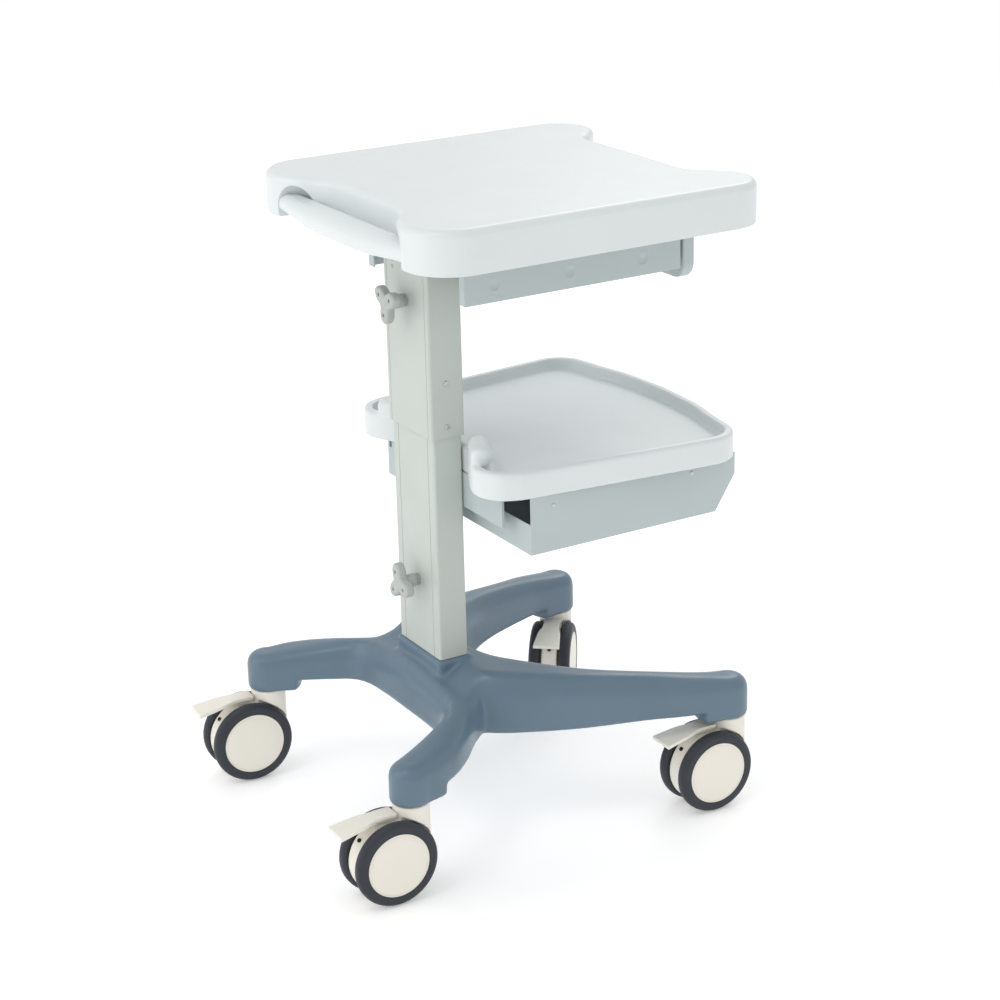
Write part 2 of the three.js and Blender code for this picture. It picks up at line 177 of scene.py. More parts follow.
def insetPush(piece, test, thickness, push):
    pick(piece, "FACE", test)
    bpy.ops.mesh.inset(thickness=thickness * mm, depth=0, use_boundary=True)
    bpy.ops.mesh.extrude_region_move(TRANSFORM_OT_translate={"value": tuple(v * mm for v in push)})
    leaveEdit()


def block(name, size, centre):
    clearSelection()
    bpy.ops.mesh.primitive_cube_add(size=1)
    piece = bpy.context.object
    piece.name = name
    piece.scale = size
    piece.location = centre
    return settle(piece)


def ball(name, radius, centre, segments, rings, squash=1):
    clearSelection()
    bpy.ops.mesh.primitive_uv_sphere_add(segments=segments, ring_count=rings, radius=radius * mm)
    piece = bpy.context.object
    piece.name = name
    piece.scale = (1, squash, 1)
    piece.location = centre
    return settle(piece)


def roundBox(name, low, high, radius, segments=4):
    low, high = at(*low), at(*high)
    piece = block(name, high - low, (low + high) / 2)
    softEdges(piece, radius, segments, 60)
    return piece


def drum(name, radius, depth, centre, axis="Z", sides=64):
    clearSelection()
    bpy.ops.mesh.primitive_cylinder_add(vertices=sides, radius=radius * mm, depth=depth * mm)
    piece = bpy.context.object
    piece.name = name
    if axis == "X":
        piece.rotation_euler = (0, math.pi / 2, 0)
    if axis == "Y":
        piece.rotation_euler = (math.pi / 2, 0, 0)
    piece.location = centre
    return settle(piece)


def voxelSolid(piece, size, smoothing):
    applyModifier(piece, "REMESH", mode="VOXEL", voxel_size=size * mm, use_smooth_shade=True)
    if smoothing:
        applyModifier(piece, "SMOOTH", factor=0.5, iterations=smoothing)
    shadeSmooth(piece, 60)


# ---- outlines ----

def arcPoints(cx, cy, radius, fromDeg, toDeg, steps):
    turns = [math.radians(fromDeg + (toDeg - fromDeg) * i / steps) for i in range(steps + 1)]
    return [(cx + radius * math.cos(t), cy + radius * math.sin(t)) for t in turns]


def smoothPoints(pairs, steps):
    # a Catmull-Rom curve through the points, stepped evenly along its length
    ends = [pairs[0], *pairs, pairs[-1]]
    fine = []
    for i in range(1, len(ends) - 2):
        p0, p1, p2, p3 = (Vector(p) for p in ends[i - 1:i + 3])
        for k in range(24):
            t = k / 24
            fine.append(0.5 * (2 * p1 + (p2 - p0) * t + (2 * p0 - 5 * p1 + 4 * p2 - p3) * t * t
                               + (3 * p1 - p0 - 3 * p2 + p3) * t ** 3))
    fine.append(Vector(pairs[-1]))
    lengths = [0]
    for a, b in zip(fine, fine[1:]):
        lengths.append(lengths[-1] + (b - a).length)
    points, j = [], 0
    for i in range(steps + 1):
        goal = lengths[-1] * i / steps
        while j < len(fine) - 2 and lengths[j + 1] < goal:
            j += 1
        part = (goal - lengths[j]) / max(lengths[j + 1] - lengths[j], 1e-9)
        points.append(tuple(fine[j].lerp(fine[j + 1], min(part, 1))))
    return points


def mirrored(half):
    apart = [p for i, p in enumerate(half) if i == 0 or math.dist(p, half[i - 1]) > 0.3]
    return apart + [(x, -y) for x, y in reversed(apart) if y < -0.3]


def rounded(width, depth, radius, steps=6):
    x, y = width / 2 - radius, depth / 2 - radius
    return (arcPoints(x, y, radius, 0, 90, steps) + arcPoints(-x, y, radius, 90, 180, steps)
            + arcPoints(-x, -y, radius, 180, 270, steps) + arcPoints(x, -y, radius, 270, 360, steps))


# ---- finishes ----

def newGroup(name, inputs, outputs):
    group = bpy.data.node_groups.new(name, "ShaderNodeTree")
    for label, kind, value in inputs:
        socket = group.interface.new_socket(name=label, in_out="INPUT", socket_type=kind)
        if value is not None:
            socket.default_value = value
    for label, kind in outputs:
        group.interface.new_socket(name=label, in_out="OUTPUT", socket_type=kind)
    return group, group.nodes.new("NodeGroupInput"), group.nodes.new("NodeGroupOutput")


def makeGrainGroup():
    # fine moulded or sprayed grain, with a slow mottle and faint smudges
    group, start, end = newGroup(
        "surfaceGrain",
        [("Vector", "NodeSocketVector", None), ("Grain Scale", "NodeSocketFloat", 900.0),
         ("Mottle Scale", "NodeSocketFloat", 14.0)],
        [("Height", "NodeSocketFloat"), ("Mottle", "NodeSocketFloat"), ("Smudge", "NodeSocketFloat")])
    link = group.links.new
    grain = group.nodes.new("ShaderNodeTexNoise")
    grain.inputs["Detail"].default_value = 3
    grain.inputs["Roughness"].default_value = 0.6
    mottle = group.nodes.new("ShaderNodeTexNoise")
    mottle.inputs["Detail"].default_value = 5
    smudge = group.nodes.new("ShaderNodeTexNoise")
    smudge.inputs["Scale"].default_value = 45
    smudge.inputs["Detail"].default_value = 8
    smudge.inputs["Distortion"].default_value = 1.5
    sharpen = group.nodes.new("ShaderNodeMapRange")
    sharpen.inputs["From Min"].default_value = 0.45
    sharpen.inputs["From Max"].default_value = 0.75
    for texture in (grain, mottle, smudge):
        link(start.outputs["Vector"], texture.inputs["Vector"])
    link(start.outputs["Grain Scale"], grain.inputs["Scale"])
    link(start.outputs["Mottle Scale"], mottle.inputs["Scale"])
    link(smudge.outputs["Fac"], sharpen.inputs["Value"])
    link(grain.outputs["Fac"], end.inputs["Height"])
    link(mottle.outputs["Fac"], end.inputs["Mottle"])
    link(sharpen.outputs["Result"], end.inputs["Smudge"])
    return group


def makeTopLightGroup():
    # painted top light: a lighter colour laid on faces that look up, broken by noise, standing in for light
    # falling on the tops
    group, start, end = newGroup(
        "paintedTopLightMask",
        [("Vector", "NodeSocketVector", None), ("Normal", "NodeSocketVector", None),
         ("Amount", "NodeSocketFloat", 0.2)],
        [("Mask", "NodeSocketFloat")])
    link = group.links.new
    split = group.nodes.new("ShaderNodeSeparateXYZ")
    facing = group.nodes.new("ShaderNodeMapRange")
    facing.inputs["From Min"].default_value = 0.5
    facing.inputs["From Max"].default_value = 1.0
    noise = group.nodes.new("ShaderNodeTexNoise")
    noise.inputs["Scale"].default_value = 60
    noise.inputs["Detail"].default_value = 6
    both = group.nodes.new("ShaderNodeMath")
    both.operation = "MULTIPLY"
    scaled = group.nodes.new("ShaderNodeMath")
    scaled.operation = "MULTIPLY"
    link(start.outputs["Vector"], noise.inputs["Vector"])
    link(start.outputs["Normal"], split.inputs["Vector"])
    link(split.outputs["Z"], facing.inputs["Value"])
    link(facing.outputs["Result"], both.inputs[0])
    link(noise.outputs["Fac"], both.inputs[1])
    link(both.outputs["Value"], scaled.inputs[0])
    link(start.outputs["Amount"], scaled.inputs[1])
    link(scaled.outputs["Value"], end.inputs["Mask"])
    return group


grainGroup = makeGrainGroup()
topLightGroup = makeTopLightGroup()


surfaces = {"bumpDepth": 0.00012, "roughnessSpread": 0.08, "coatRoughness": 0.15}


def finish(name, dark, light, roughness, grain, bump, metallic=0.0, coat=0.0, paintedTopLightAmount=0.0, paintedTopLightColour=None):
    material = bpy.data.materials.new(name)
    material.use_nodes = True
    tree = material.node_tree
    link = tree.links.new
    shader = tree.nodes["Principled BSDF"]
    shader.inputs["Metallic"].default_value = metallic
    shader.inputs["Coat Weight"].default_value = coat
    shader.inputs["Coat Roughness"].default_value = surfaces["coatRoughness"]
    place = tree.nodes.new("ShaderNodeTexCoord")
    surface = tree.nodes.new("ShaderNodeGroup")
    surface.node_tree = grainGroup
    surface.inputs["Grain Scale"].default_value = grain
    link(place.outputs["Object"], surface.inputs["Vector"])
    blend = tree.nodes.new("ShaderNodeMix")
    blend.data_type = "RGBA"
    blend.inputs["A"].default_value = (*dark, 1)
    blend.inputs["B"].default_value = (*light, 1)
    link(surface.outputs["Mottle"], blend.inputs["Factor"])
    colour = blend.outputs["Result"]
    # painted top light: up-facing faces are mixed towards a lighter colour, as if lit from above
    if paintedTopLightAmount:
        geometry = tree.nodes.new("ShaderNodeNewGeometry")
        topLightNode = tree.nodes.new("ShaderNodeGroup")
        topLightNode.node_tree = topLightGroup
        topLightNode.inputs["Amount"].default_value = paintedTopLightAmount
        link(place.outputs["Object"], topLightNode.inputs["Vector"])
        link(geometry.outputs["Normal"], topLightNode.inputs["Normal"])
        topLitColour = tree.nodes.new("ShaderNodeMix")
        topLitColour.data_type = "RGBA"
        topLitColour.inputs["B"].default_value = paintedTopLightColour
        link(colour, topLitColour.inputs["A"])
        link(topLightNode.outputs["Mask"], topLitColour.inputs["Factor"])
        colour = topLitColour.outputs["Result"]
    link(colour, shader.inputs["Base Color"])
    gloss = tree.nodes.new("ShaderNodeMapRange")
    gloss.inputs["To Min"].default_value = roughness - surfaces["roughnessSpread"] / 2
    gloss.inputs["To Max"].default_value = roughness + surfaces["roughnessSpread"] / 2
    link(surface.outputs["Smudge"], gloss.inputs["Value"])
    link(gloss.outputs["Result"], shader.inputs["Roughness"])
    raised = tree.nodes.new("ShaderNodeBump")
    raised.inputs["Strength"].default_value = bump
    raised.inputs["Distance"].default_value = surfaces["bumpDepth"]
    link(surface.outputs["Height"], raised.inputs["Height"])
    link(raised.outputs["Normal"], shader.inputs["Normal"])
    return material


finishes = {
    "shell": finish("shellPlastic", (0.695, 0.735, 0.74), (0.745, 0.785, 0.79), 0.38, 1400, 0.25, coat=0.1),
    "column": finish("columnPaint", (0.51, 0.545, 0.505), (0.555, 0.60, 0.56), 0.42, 1700, 0.3),
    "knob": finish("knobPlastic", (0.41, 0.44, 0.42), (0.47, 0.50, 0.48), 0.45, 1200, 0.3),
    "sheet": finish("sheetPaint", (0.465, 0.53, 0.54), (0.51, 0.575, 0.585), 0.45, 1700, 0.3),
    # the base carries a painted top light: its up-facing faces are lightened towards a pale blue-grey
    "base": finish("baseCoat", (0.105, 0.163, 0.22), (0.135, 0.203, 0.262), 0.34, 1500, 0.35,
                   paintedTopLightAmount=0.06, paintedTopLightColour=(0.42, 0.46, 0.5, 1)),
    "cream": finish("creamNylon", (0.83, 0.79, 0.70), (0.88, 0.845, 0.765), 0.4, 1100, 0.2),
    # the tyres carry a painted top light: their up-facing faces are lightened towards grey
    "rubber": finish("tyreRubber", (0.014, 0.018, 0.026), (0.028, 0.034, 0.046), 0.55, 1600, 0.4,
                     paintedTopLightAmount=0.05, paintedTopLightColour=(0.3, 0.3, 0.3, 1)),
    "steel": finish("zincSteel", (0.5, 0.51, 0.53), (0.62, 0.63, 0.64), 0.32, 700, 0.15, metallic=1.0),
    "glide": finish("darkNylon", (0.03, 0.03, 0.034), (0.055, 0.055, 0.06), 0.5, 1000, 0.2),
}
# painted shade: a near-black finish standing for the shade inside holes and screw recesses
recessShadeFinish = finish("paintedRecessShade", (0.012, 0.012, 0.014), (0.02, 0.02, 0.022), 0.8, 800, 0.2)


def dress(piece, slot, body, *replaced, material=None):
    piece.data.materials.clear()
    piece.data.materials.append(material or finishes[slot])
    if replaced:
        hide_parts(*replaced)
    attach(piece, body)
    return piece


slotOf = {row["node"]: row["material_slot"] for row in frame["record"]["subparts"]}
for nodeName, node in nodes.items():
    node.data.materials.clear()
    node.data.materials.append(finishes[slotOf[nodeName]])
print("finishes made")

# ---- camera, floor and lights ----

view = {"azimuth": -30.44, "elevation": 20.30, "roll": -1.35, "distance": 2805.4,
        "target": (96.25, 2.2, 360.4), "lens": 85.6728, "sensor": 36.0}


def placeCamera():
    turn, lift, roll = (math.radians(view[k]) for k in ("azimuth", "elevation", "roll"))
    back = Vector((math.sin(turn) * math.cos(lift), -math.cos(turn) * math.cos(lift), math.sin(lift)))
    right = (-back).cross(Vector((0, 0, 1))).normalized()
    up = right.cross(-back)
    rolledRight = right * math.cos(roll) + up * math.sin(roll)
    rolledUp = up * math.cos(roll) - right * math.sin(roll)
    data = bpy.data.cameras.new("mainView")
    data.sensor_width = view["sensor"]
    data.lens = view["lens"]
    data.clip_end = 100
    camera = bpy.data.objects.new("mainView", data)
    bpy.context.scene.collection.objects.link(camera)
    place = at(*view["target"]) + back * view["distance"] * mm
    camera.matrix_world = Matrix((
        (rolledRight.x, rolledUp.x, back.x, place.x),
        (rolledRight.y, rolledUp.y, back.y, place.y),
        (rolledRight.z, rolledUp.z, back.z, place.z),
        (0, 0, 0, 1)))
    bpy.context.scene.camera = camera


placeCamera()

stage = {"size": 60, "drop": 0.0004, "floor": (0.93, 0.93, 0.93, 1), "floorGlow": 0.26, "air": 0.8,
         "aim": (0.05, 0, 0.35)}

clearSelection()
bpy.ops.mesh.primitive_plane_add(size=stage["size"], location=(0, 0, -stage["drop"]))
floor = bpy.context.object
floor.name = "studioFloor"
floorMaterial = bpy.data.materials.new("paleFloor")
floorMaterial.use_nodes = True
floorShader = floorMaterial.node_tree.nodes["Principled BSDF"]
floorShader.inputs["Base Color"].default_value = stage["floor"]
floorShader.inputs["Roughness"].default_value = 0.7
floorShader.inputs["Specular IOR Level"].default_value = 0.1
floorShader.inputs["Emission Color"].default_value = (1, 1, 1, 1)
floorShader.inputs["Emission Strength"].default_value = stage["floorGlow"]
floor.data.materials.append(floorMaterial)

lamps = {
    "side": {"place": (-2.7, 0.7, 1.5), "size": 2.0, "power": 14},
    "key": {"place": (-1.6, -0.4, 3.0), "size": 0.9, "power": 9},
    "back": {"place": (2.2, 2.0, 2.6), "size": 1.6, "power": 22},
}
for lampName, lamp in lamps.items():
    lightData = bpy.data.lights.new(lampName, "AREA")
    lightData.energy = lamp["power"]
    lightData.size = lamp["size"]
    light = bpy.data.objects.new(lampName, lightData)
    bpy.context.scene.collection.objects.link(light)
    light.location = lamp["place"]
    aim = Vector(stage["aim"]) - light.location
    light.rotation_euler = aim.to_track_quat("-Z", "Y").to_euler()
world = bpy.data.worlds.new("studioAir")
world.use_nodes = True
air = world.node_tree.nodes["Background"]
air.inputs["Color"].default_value = (1, 1, 1, 1)
air.inputs["Strength"].default_value = stage["air"]
bpy.context.scene.world = world
bpy.context.scene.view_settings.view_transform = "Standard"
print("stage made")

# ---- base ----

base = {"rear": (-135.4, 181.6), "front": (288.2, 191.6), "endRadius": 23.8, "underside": 124,
        "flatTop": 166, "edge": 21, "rearCrown": (157.5, 0.135, 27), "frontCrown": (160.5, 60, 320),
        "padReach": 42, "padBottom": 112, "collar": (45, 105, 200), "skirtOut": 18, "skirtTop": 184,
        "coarse": 3.2, "fine": 2.0}


def baseOutline():
    rearX, rearY = base["rear"]
    frontX, frontY = base["front"]
    half = smoothPoints([(-42, 0), (-43, -72), (-52, -106), (-77, -124), (-107, -141), (-145, -160)], 36)
    half += arcPoints(rearX, -rearY, base["endRadius"], 120, 300, 20)
    half += smoothPoints([(-123, -202), (-99, -196), (-72, -180), (-45, -156), (-20, -128), (2, -109)], 22)
    half += smoothPoints([(4, -109), (32, -128), (101, -160), (180, -185), (229, -203), (282, -214.6)], 36)
    half += arcPoints(frontX, -frontY, base["endRadius"], -103, 77, 20)
    half += smoothPoints([(293.5, -168.4), (234, -156), (139, -117), (72, -60), (53, -30), (48, 0)], 36)
    return mirrored(half)


def legCrown(x, y):
    # the height of the legs' tops, rising to the column and higher along the front legs
    reach = {}
    for name in ("rear", "front"):
        ex, ey = base[name]
        reach[name] = min(math.hypot(x - ex, y - ey), math.hypot(x - ex, y + ey))
    low, slope, most = base["rearCrown"]
    rear = low + min(most, slope * reach["rear"])
    low, rise, far = base["frontCrown"]
    front = low + rise * (1 - math.exp(-reach["front"] / far))
    part = min(1, max(0, (x + 22) / 40))
    return rear + part * part * (3 - 2 * part) * (front - rear)


def makeBase():
    outline = baseOutline()
    piece = prism("baseMoulding", outline, base["underside"], base["flatTop"])
    bevelLevel(piece, base["flatTop"], base["edge"], 10)
    bevelLevel(piece, base["underside"], 2.5, 2)
    voxelSolid(piece, base["coarse"], 0)
    for vertex in piece.data.vertices:
        x, y = (vertex.co.x - columnX) / mm, (vertex.co.y - columnY) / mm
        part = max(0, vertex.co.z / mm - base["underside"]) / (base["flatTop"] - base["underside"])
        vertex.co.z += part * (legCrown(x, y) - base["flatTop"]) * mm
    pads = prism("pads", outline, base["padBottom"], base["underside"] + 8)
    reach = None
    for ex, ey in (base["rear"], base["front"]):
        for side in (-1, 1):
            one = drum("reach", base["padReach"], 60, at(ex, side * ey, 130), "Z", 48)
            reach = joinPieces(reach, one) if reach else one
    cutWith(pads, reach, "INTERSECT")
    softEdges(pads, 2.5, 2, 60)
    width, depth, top = base["collar"]
    collar = prism("collar", rounded(width, depth, 6), 150, top)
    bevelLevel(collar, top, 1.6, 3)
    out, skirtTop = base["skirtOut"], base["skirtTop"]
    skirt = prism("skirt", rounded(width + out, depth + out, 20, 10), 150, skirtTop)
    bevelLevel(skirt, skirtTop, 12, 6)
    joinPieces(piece, pads, collar, skirt)
    voxelSolid(piece, base["fine"], 9)
    dress(piece, "base", "base", "base_frame")


makeBase()
print("base made")

# ---- column ----

columns = {
    "upper": {"size": (43, 101), "z": (471.2, 704), "corner": 3.2, "groove": 42.5, "wall": 2.4},
    "lower": {"size": (37, 96), "z": (200.5, 560), "corner": 3.2, "groove": 34, "wall": 1.8},
}
groove = {"width": 1.5, "depth": 0.9}


def columnOutline(spec):
    # a rounded rectangle with two narrow grooves in each broad face
    width, depth = spec["size"]
    x = width / 2
    points = rounded(width, depth, spec["corner"], 8)
    grooves = []
    for place in (-spec["groove"], spec["groove"]):
        half = groove["width"] / 2
        grooves += [(place - half, 0), (place - half / 3, groove["depth"]),
                    (place + half / 3, groove["depth"]), (place + half, 0)]
    left = [(-(x - cut), y) for y, cut in reversed(grooves)]
    right = [(x - cut, y) for y, cut in grooves]
    quarter = len(points) // 4
    return points[:quarter * 2] + left + points[quarter * 2:] + right


def makeColumn(name):
    spec = columns[name]
    outline = columnOutline(spec)
    piece = prism(f"{name}ColumnProfile", outline, *spec["z"])
    inner = [size - 2 * spec["wall"] for size in spec["size"]]
    bore = prism("bore", rounded(*inner, 1.6, 5), spec["z"][0] - 5, spec["z"][1] + 5)
    cutWith(piece, bore)
    shadeSmooth(piece, 25, True)
    dress(piece, "column", "column", f"column_{name}")


for columnName in columns:
    makeColumn(columnName)

screws = {"onColumn": [(-1, -50.5, 535), (-1, -50.5, 484)], "headRadius": 3.4, "head": 1.3,
          "holeRadius": 1.9, "holesZ": (665, 657)}


def screwHead(name, centre, axis, radius, height, towards):
    # a pan head with a cross recess, its flat side on the wall
    piece = drum(name, radius, height * 2, centre, axis, 32)
    direction = Vector(towards)
    pick(piece, "EDGE", lambda a, b: (a - centre).dot(direction) > 0.5 * height * mm
         and (b - centre).dot(direction) > 0.5 * height * mm)
    bpy.ops.mesh.bevel(offset=height * 0.7 * mm, segments=4, affect="EDGES")
    leaveEdit()
    for turned in (0, 1):
        long, thin = radius * 1.1 * mm, 0.28 * radius * mm
        sizes = {"X": (height * mm, long, thin), "Y": (long, height * mm, thin)}[axis]
        if turned:
            sizes = {"X": (height * mm, thin, long), "Y": (thin, height * mm, long)}[axis]
        cutWith(piece, block("slot", sizes, centre + direction * height * mm))
    shadeSmooth(piece, 35)
    return piece


for i, (x, y, z) in enumerate(screws["onColumn"]):
    head = screwHead(f"columnScrew{i + 1}", at(x, y, z), "Y", screws["headRadius"], screws["head"],
                     (0, -1, 0))
    dress(head, "steel", "column")
for i, z in enumerate(screws["holesZ"]):
    hole = drum(f"columnHole{i + 1}", screws["holeRadius"], 0.5, at(-21.35, 28, z), "X", 24)
    insetPush(hole, lambda centre, normal: normal.x < -0.9, 0.5, (0.2, 0, 0))
    # each hole is a shallow disc in near-black painted shade, not an open hole
    dress(hole, "glide", "column", material=recessShadeFinish)
print("column made")

# ---- clamp knobs ----

knobShape = {"lobes": 3, "sides": 96, "mean": 17.5, "swing": 7.0, "edge": 3.2, "sleeve": 8, "gap": 4.6,
             "holeRadius": 2.2, "holeAt": 14}


def makeKnob(name, z, faceX, turn):
    node = f"knob_{name}"
    low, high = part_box(node)
    outer, inner = low.x / mm, high.x / mm
    clearSelection()
    sides = knobShape["sides"]
    bpy.ops.mesh.primitive_circle_add(vertices=sides, radius=0.02, fill_type="NGON")
    piece = bpy.context.object
    piece.name = f"{name}ClampKnob"
    centre = at(0, 0, z)
    for i, vertex in enumerate(piece.data.vertices):
        angle = 2 * math.pi * i / sides
        radius = knobShape["mean"] + knobShape["swing"] * math.cos(knobShape["lobes"] * (angle - turn))
        vertex.co = Vector((outer * mm, centre.y + radius * math.cos(angle) * mm,
                            centre.z + radius * math.sin(angle) * mm))
    pick(piece, "FACE", lambda c, n: True)
    bpy.ops.mesh.extrude_region_move(TRANSFORM_OT_translate={"value": ((inner - outer) * mm, 0, 0)})
    leaveEdit()
    facesOut(piece)
    for side in (outer, inner):
        pick(piece, "EDGE", lambda a, b: abs(a.x - side * mm) < 1e-5 and abs(b.x - side * mm) < 1e-5)
        bpy.ops.mesh.bevel(offset=knobShape["edge"] * mm, segments=5, affect="EDGES")
        leaveEdit()
    holes = None
    for i in range(knobShape["lobes"]):
        angle = turn + 2 * math.pi * i / knobShape["lobes"]
        reach = knobShape["holeAt"] * mm
        spot = Vector((outer * mm, centre.y + reach * math.cos(angle), centre.z + reach * math.sin(angle)))
        one = drum("hole", knobShape["holeRadius"], 5, spot, "X", 24)
        holes = joinPieces(holes, one) if holes else one
    cutWith(piece, holes)
    softEdges(piece, 0.4, 2, 50)
    shadeSmooth(piece, 40)
    dress(piece, "knob", node, node)
    farEnd = columnX / mm - faceX - knobShape["gap"]
    sleeve = drum(f"{name}KnobSleeve", knobShape["sleeve"], farEnd - inner + 1,
                  Vector(((inner - 1 + farEnd) / 2 * mm, centre.y, centre.z)), "X", 48)
    pick(sleeve, "FACE", lambda c, n: n.x > 0.9)
    bpy.ops.mesh.inset(thickness=1.5 * mm, depth=0)
    bpy.ops.mesh.extrude_region_move(TRANSFORM_OT_translate={"value": (-1.2 * mm, 0, 0)})
    leaveEdit()
    softEdges(sleeve, 0.6, 2, 50)
    shadeSmooth(sleeve, 35)
    dress(sleeve, "knob", node)


makeKnob("upper", 624, 21.5, math.radians(35))
makeKnob("lower", 287, 18.5, math.radians(75))
print("knobs made")

# ---- top tray ----

tray = {"z": (702.5, 751.5), "edge": 9, "wall": 3.2, "scoop": 29,
        "scoopAt": (-101, 117, 713.5)}


def trayOutline(drawnIn=0.0, rearLimit=-999.0):
    half = smoothPoints([(-66, 0), (-66, -60), (-76, -94), (-92, -118), (-104, -150), (-104, -160)], 34)
    half += arcPoints(-52, -160, 52, 180, 270, 20)[1:]
    half += arcPoints(280, -162, 50, 270, 360, 20)
    half += smoothPoints([(330, -165), (326, -148), (306, -124), (289, -104), (288, -60), (288, 0)], 34)[1:]
    outline = mirrored(half)
    if not drawnIn:
        return outline
    moved = []
    for i, (x, y) in enumerate(outline):
        before, after = outline[i - 1], outline[(i + 1) % len(outline)]
        along = Vector((after[0] - before[0], after[1] - before[1])).normalized()
        moved.append((max(x - along.y * drawnIn, rearLimit), y + along.x * drawnIn))
    return moved


def makeTray():
    bottom, top = tray["z"]
    piece = prism("trayShell", trayOutline(), bottom, top)
    bevelLevel(piece, top, tray["edge"], 8)
    bevelLevel(piece, bottom, 1.2, 2)
    hollow = prism("hollow", trayOutline(tray["wall"], -58), bottom - 5, top - tray["wall"])
    cutWith(piece, hollow)
    x, y, z = tray["scoopAt"]
    for side in (-1, 1):
        cutWith(piece, ball("scoop", tray["scoop"], at(x, side * y, z), 64, 40))
    softEdges(piece, 1.2, 3, 40)
    shadeSmooth(piece, 30, True)
    dress(piece, "shell", "tray", "tray_shell")


handle = {"z": (702.5, 728), "innerX": -75, "halfY": 150, "round": 11.4, "rise": 0.14, "riseFrom": 62,
          "riseOver": 70}


def makeHandle():
    bottom, top = handle["z"]
    end = handle["halfY"]
    plan = smoothPoints([(-101, -end), (-106, -108), (-111, -55), (-112, 0), (-111, 55), (-106, 108),
                         (-101, end)], 60)
    plan += [(handle["innerX"], y) for y in range(end, -end - 1, -6)]
    bar = prism("handleBar", plan, bottom, top)
    for level in (bottom, top):
        bevelLevel(bar, level, handle["round"], 9)
    for vertex in bar.data.vertices:
        # the underside rises towards both ends
        out = abs(vertex.co.y - columnY) / mm - handle["riseFrom"]
        part = min(1, max(0, out / handle["riseOver"]))
        vertex.co.z += (top * mm - vertex.co.z) * handle["rise"] * part * part * (3 - 2 * part)
    shadeSmooth(bar, 50)
    dress(bar, "shell", "tray")


makeTray()
makeHandle()

plugs = {"radius": 6, "depth": 3.7}
for i in range(4):
    centre = middle(f"tray_plug_{i + 1}")
    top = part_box(f"tray_plug_{i + 1}")[1].z
    spot = Vector((centre.x, centre.y, top - plugs["depth"] / 2 * mm))
    plug = drum(f"trayPlug{i + 1}", plugs["radius"], plugs["depth"], spot, "Z", 48)
    insetPush(plug, lambda c, n: n.z > 0.9, 1.6, (0, 0, -0.7))
    softEdges(plug, 0.5, 3, 50)
    shadeSmooth(plug, 40)
    dress(plug, "shell", "tray", f"tray_plug_{i + 1}")
print("tray made")

channel = {"x": (-8, 275), "halfY": 110, "z": (638, 720), "wall": 2, "dimples": (30, 127, 224),
           "dimpleZ": 657, "dimpleRadius": 8, "flange": 12}


def makeChannel():
    x0, x1 = channel["x"]
    z0, z1 = channel["z"]
    halfY, wall = channel["halfY"], channel["wall"]
    piece = roundBox("underTrayChannel", (x0, -halfY, z0), (x1, halfY, z1), 0.01, 1)
    pick(piece, "FACE", lambda c, n: n.z < -0.9 or abs(n.x) > 0.9 or c.z < (z0 + 0.02) * mm)
    bpy.ops.mesh.delete(type="FACE")
    leaveEdit()
    applyModifier(piece, "SOLIDIFY", thickness=wall * mm, offset=-1)
    softEdges(piece, 1.0, 3, 60)
    dents = None
    for x in channel["dimples"]:
        for side in (-1, 1):
            dent = ball("dent", channel["dimpleRadius"], at(x, side * (halfY + 1.9), channel["dimpleZ"]),
                        40, 24, 0.42)
            dents = joinPieces(dents, dent) if dents else dent
    cutWith(piece, dents)
    flanges = []
    for side in (-1, 1):
        y, half = side * (halfY - channel["flange"] / 2), channel["flange"] / 2 - 0.1
        flanges.append(roundBox("flange", (x0, y - half, z0), (x0 + wall, y + half, z1 - 3), 0.8, 3))
    joinPieces(piece, *flanges)
    shadeSmooth(piece, 28, True)
    dress(piece, "sheet", "tray", "under_tray_channel")


makeChannel()

drawerFront = {"lowerRound": 20, "upperRound": 8, "edge": 2.6}


def makeDrawerFront():
    low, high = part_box("drawer_front")
    centre = (low + high) / 2
    piece = block("drawerFrontPlate", high - low, centre)
    pick(piece, "EDGE", lambda a, b: abs(a.x - b.x) > 1e-4 and a.z < centre.z)
    bpy.ops.mesh.bevel(offset=drawerFront["lowerRound"] * mm, segments=10, affect="EDGES")
    leaveEdit()
    pick(piece, "EDGE", lambda a, b: abs(a.x - b.x) > 1e-4 and a.z > high.z - 1e-4 and b.z > high.z - 1e-4)
    bpy.ops.mesh.bevel(offset=drawerFront["upperRound"] * mm, segments=6, affect="EDGES")
    leaveEdit()
    softEdges(piece, drawerFront["edge"], 4, 50)
    shadeSmooth(piece, 30, True)
    dress(piece, "sheet", "drawer", "drawer_front")


makeDrawerFront()
print("drawer made")

# ---- shelf, bracket and box ----

shelf = {"z": (426, 457.6), "floor": 444.6, "edge": 4.5, "cheek": (16, 93, 464), "cheekRadius": 12.4,
         "cheekLength": 56, "cheekTurn": 26, "voxel": 1.8}


def shelfOutline():
    def side(x):
        return -(164.8 + 0.1 * x)

    half = smoothPoints([(20, 0), (20, -51), (14, -68), (5, -86), (-3, -101), (-8.5, -117), (-9.5, -131),
                         (-5.5, -144), (5, -158), (26, side(26))], 60)
    half += smoothPoints([(30, side(30)), (150, side(150)), (266, side(266))], 24)
    half += arcPoints(270, side(270) + 44, 44, -86, -15, 14)
    half += smoothPoints([(315, -145), (320, -115), (329, -70), (333.4, 0)], 26)
    return mirrored(half)


